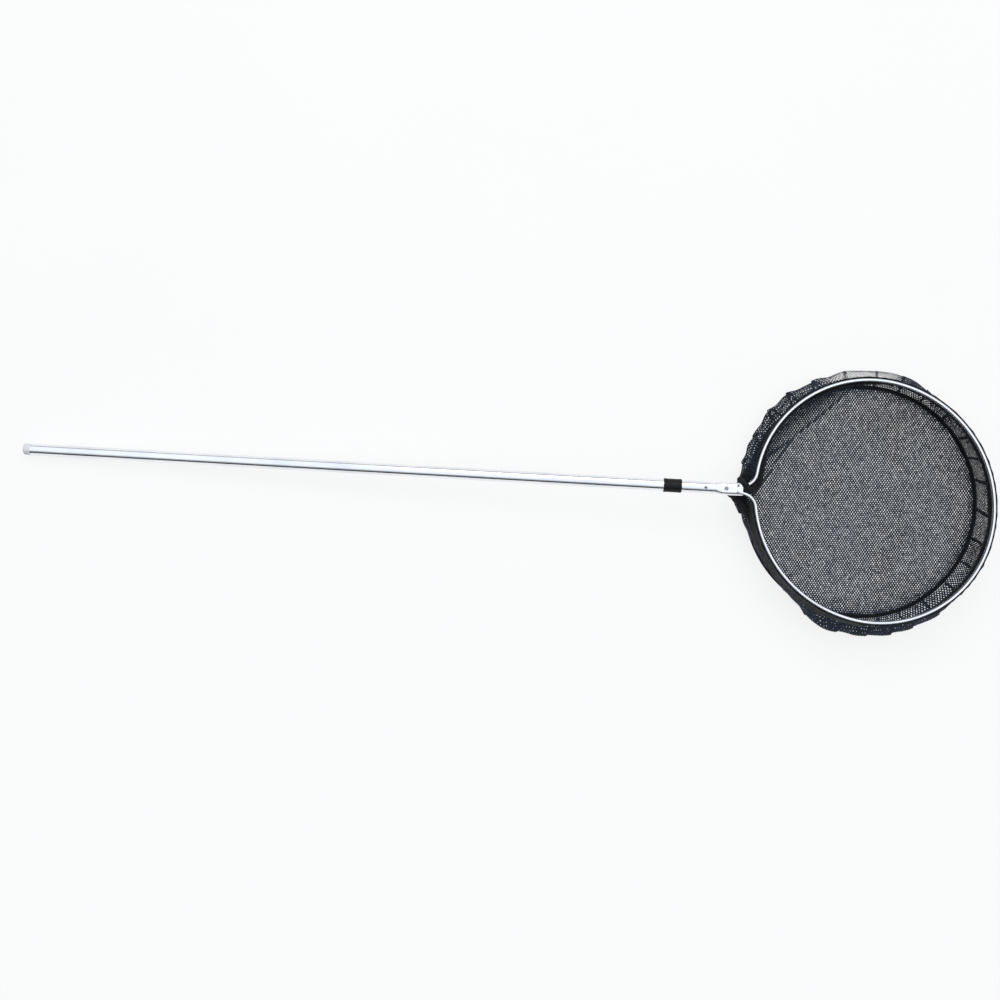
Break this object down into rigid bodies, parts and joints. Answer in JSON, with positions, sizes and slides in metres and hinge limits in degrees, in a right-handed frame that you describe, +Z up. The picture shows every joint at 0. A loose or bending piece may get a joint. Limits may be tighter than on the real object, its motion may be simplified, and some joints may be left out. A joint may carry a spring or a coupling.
{
  "type": "leaf skimmer net",
  "caption": "Flat-bottomed round skimmer net on a telescopic twist-lock pole, with a slotted aluminium hoop and a pleated mesh bag.",
  "frame": {"origin": "on the floor, under the middle of the object's length, on the pole's line", "axes": "+X along the pole towards the hoop, +Z up from the floor; the pole's line climbs 2.9 degrees towards +X"},
  "size_m": [2.0589, 0.5641, 0.1195],
  "materials": {
    "drawn_aluminium": "satin anodised, drawn tube",
    "pressed_aluminium": "bright, pressed",
    "rail_aluminium": "extruded, clear anodised",
    "black_plastic": "moulded, satin",
    "grey_plastic": "moulded, satin",
    "white_nylon": "moulded, waxy",
    "plated_steel": "zinc plated",
    "netting": "knitted nylon mesh, dyed black",
    "hem_tape": "woven tape, black",
    "black_cord": "braided cord, black"
  },
  "bodies": {
    "handle": {"outer_tube": "drawn_aluminium", "end_plug": "grey_plastic", "pole_collar": "black_plastic", "collar_bush": "white_nylon"},
    "guide": {"guide_bush": "white_nylon"},
    "head": {"inner_tube": "drawn_aluminium", "lock_plug": "grey_plastic", "lock_pin": "plated_steel", "cam_washer": "plated_steel", "cam_screw": "plated_steel", "neck_tube": "pressed_aluminium", "neck_rivet": "plated_steel", "mouth_insert": "black_plastic", "clamp_bolt": "plated_steel", "clamp_nut": "plated_steel", "hoop_rivets": "plated_steel", "hoop": "rail_aluminium", "rim_cord": "black_cord", "hem_band": "hem_tape", "throat_gather": "hem_tape", "side_wall": "netting", "seam_binding": "hem_tape", "bottom_panel": "netting"},
    "cam": {"cam_ring": "white_nylon"}
  },
  "joints": [
    {"name": "pole_slide", "type": "slide", "parent": "handle", "child": "guide", "axis": [0.9987, 0, 0.0505], "range_m": [0, 1.2]},
    {"name": "pole_twist", "type": "hinge", "parent": "guide", "child": "head", "pos_m": [-0.96012, 0, 0.01537], "axis": [0.9987, 0, 0.0505], "range_deg": [-25, 25]},
    {"name": "cam_turn", "type": "hinge", "parent": "head", "child": "cam", "pos_m": [-0.9781, 0.0015, 0.01446], "axis": [0.9987, 0, 0.0505], "range_deg": [-25, 25]}
  ],
  "couplings": [
    {"joint": "cam_turn", "follows": "pole_twist", "ratio": -1}
  ]
}
